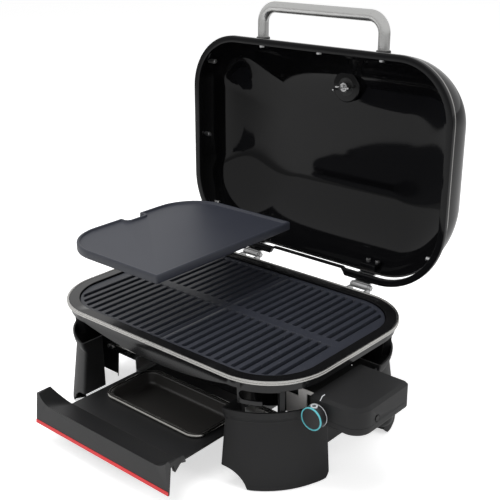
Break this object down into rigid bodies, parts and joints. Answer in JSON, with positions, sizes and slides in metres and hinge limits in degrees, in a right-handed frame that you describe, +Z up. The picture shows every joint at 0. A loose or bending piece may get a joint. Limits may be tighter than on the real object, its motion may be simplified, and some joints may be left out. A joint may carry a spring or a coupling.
{
  "type": "electric grill",
  "caption": "Table-top electric grill with a hinged domed lid, cooking grates, a griddle plate, a side control box and a pull-out drip drawer on four curved legs.",
  "frame": {"origin": "on the table, under the middle of the whole grill's bounding box with the lid open and the drawer pulled out", "axes": "+X to the right, towards the control box; +Y to the back, towards the lid's hinges, so the drawer front faces -Y; +Z up"},
  "size_m": [0.6492, 0.6622, 0.6673],
  "materials": {
    "black_enamel": "cast aluminium with a glossy black coat",
    "cast_enamel": "cast aluminium with a satin non-stick coat and fine metallic flecks",
    "bright_steel": "bright, lightly brushed",
    "handle_steel": "brushed along the tube",
    "zinc_steel": "plated, satin",
    "element_sheath": "dark, heat-stained",
    "black_steel": "blackened",
    "black_plastic": "fine-grained matte",
    "pad_rubber": "matte",
    "drawer_paint": "satin powder coat",
    "red_paint": "satin",
    "pan_steel": "dark, polished rim",
    "pin_brass": "polished",
    "silver_plastic": "satin silver",
    "teal_ring": "glossy, translucent",
    "gauge_steel": "polished",
    "dial_paint": "matte",
    "pointer_paint": "matte",
    "clear_glass": "clear"
  },
  "bodies": {
    "base": {"bowl": "black_enamel", "bowl_posts": "zinc_steel", "control_housing_base": "black_plastic", "control_housing_top": "black_plastic", "drawer_rail_left": "zinc_steel", "drawer_rail_right": "zinc_steel", "element_clips": "zinc_steel", "element_neck": "black_plastic", "foot_pads": "pad_rubber", "frame_screws": "zinc_steel", "grate_left": "cast_enamel", "grate_right": "cast_enamel", "heating_element": "element_sheath", "hinge_bracket_left": "zinc_steel", "hinge_bracket_right": "zinc_steel", "hinge_bracket_screws": "zinc_steel", "hinge_pins": "zinc_steel", "housing_mark": "silver_plastic", "housing_screws": "black_steel", "inlet_pins": "pin_brass", "leg_front_left": "black_plastic", "leg_front_right": "black_plastic", "leg_rear_left": "black_plastic", "leg_rear_right": "black_plastic", "power_inlet": "black_plastic", "rail_arms": "bright_steel", "rim_trim": "bright_steel", "shield_foot": "black_plastic", "shield_plate": "bright_steel", "side_skirt_left": "black_plastic", "side_skirt_right": "black_plastic", "terminal_block": "black_plastic", "thermostat": "black_plastic"},
    "lid": {"lid_dome": "black_enamel", "lid_ring": "black_enamel", "lid_trim": "bright_steel", "lid_handle": "handle_steel", "handle_collars": "black_plastic", "lid_nuts": "zinc_steel", "hinge_leaf_left": "zinc_steel", "hinge_leaf_right": "zinc_steel", "hinge_leaf_bolts": "zinc_steel", "thermometer_case": "gauge_steel", "thermometer_dial": "dial_paint", "thermometer_glass": "clear_glass", "thermometer_stem": "zinc_steel", "thermometer_washer": "black_plastic", "thermometer_wing_nut": "zinc_steel"},
    "pointer": {"thermometer_pointer": "pointer_paint"},
    "drawer": {"drawer_tray": "drawer_paint", "drawer_front": "drawer_paint", "drawer_stripe": "red_paint", "drip_pan": "pan_steel"},
    "griddle": {"griddle_plate": "cast_enamel"},
    "knob": {"knob_body": "black_plastic", "knob_ring": "teal_ring", "knob_skirt": "silver_plastic", "knob_shaft": "zinc_steel", "knob_index_ring": "silver_plastic"}
  },
  "joints": [
    {"name": "lid_hinge", "type": "hinge", "parent": "base", "child": "lid", "pos_m": [-0.03715, 0.18779, 0.186], "axis": [1, 0, 0], "range_deg": [0, 91.3]},
    {"name": "griddle_lift", "type": "slide", "parent": "base", "child": "griddle", "axis": [0, 0, 1], "range_m": [-0.0937, 0]},
    {"name": "drawer_slide", "type": "slide", "parent": "base", "child": "drawer", "axis": [0, 1, 0], "range_m": [-0.06, 0.1]},
    {"name": "knob_turn", "type": "hinge", "parent": "base", "child": "knob", "pos_m": [0.24735, -0.14081, 0.13], "axis": [0, 1, 0], "range_deg": [0, 300]},
    {"name": "thermometer_needle", "type": "hinge", "parent": "lid", "child": "pointer", "pos_m": [-0.02915, 0.31928, 0.5147], "axis": [0, -0.9997, 0.0227], "range_deg": [0, 270]}
  ],
  "couplings": [
    {"joint": "griddle_lift", "follows": "lid_hinge", "m_per_rad": -0.0588}
  ]
}
